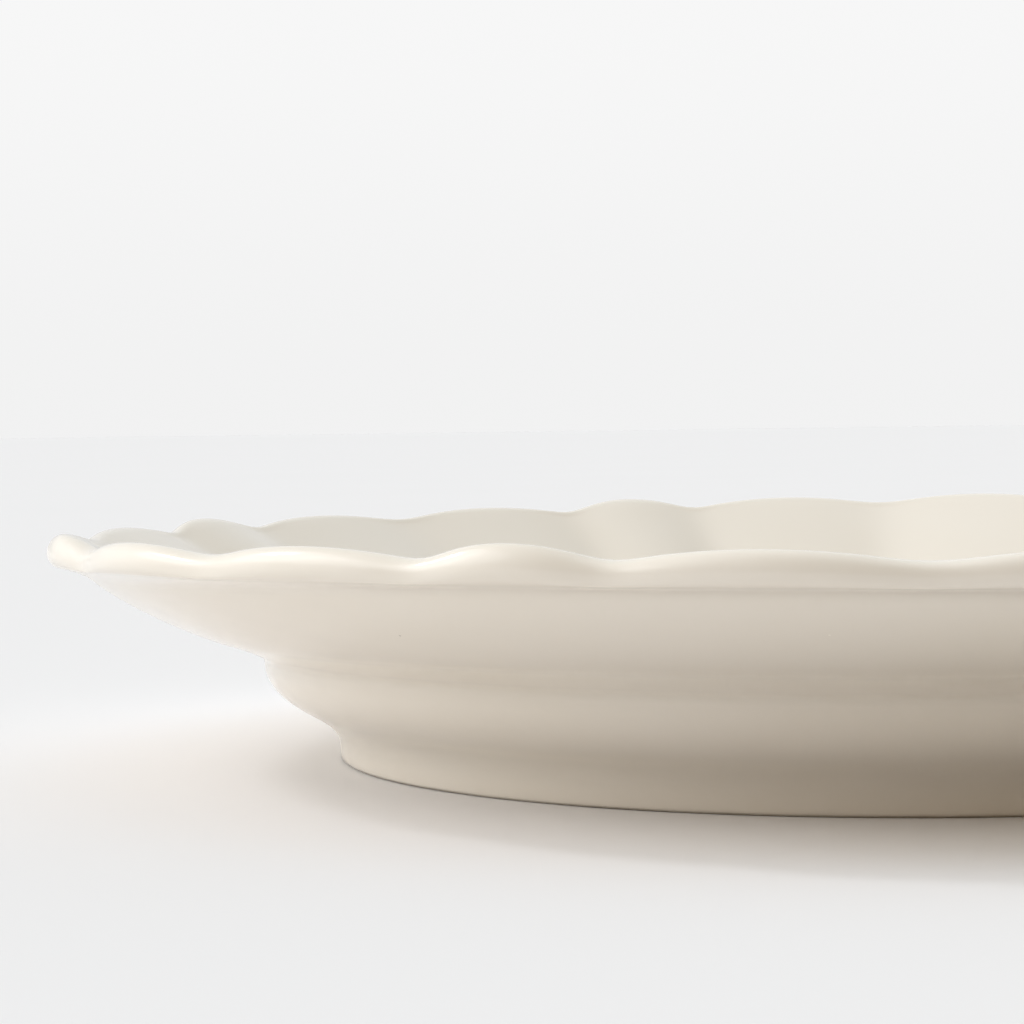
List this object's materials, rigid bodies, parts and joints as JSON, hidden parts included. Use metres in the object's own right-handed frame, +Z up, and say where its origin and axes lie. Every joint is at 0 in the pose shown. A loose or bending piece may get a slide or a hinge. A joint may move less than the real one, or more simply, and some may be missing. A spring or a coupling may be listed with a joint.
{
  "type": "serving platter",
  "caption": "Round scalloped ceramic serving platter with a sunk well, an upswept flange, a rolled lobed rim and a bare foot ring, coated in glossy ivory glaze",
  "frame": {"origin": "centre of the foot ring's land, on the plane the platter stands on", "axes": "+Z up out of the well along the platter's axis; a narrow lobe of the rim points along +X; X and Y lie in the plane of the table"},
  "size_m": [0.3056, 0.3056, 0.0428],
  "materials": {
    "clay": "bare fired clay, matt",
    "face_glaze": "glossy ivory glaze",
    "base_glaze": "glossy ivory glaze, pooled thicker in the recess"
  },
  "bodies": {
    "root": {"clay_body": "clay", "face_glaze": "face_glaze", "base_glaze": "base_glaze"}
  },
  "joints": []
}
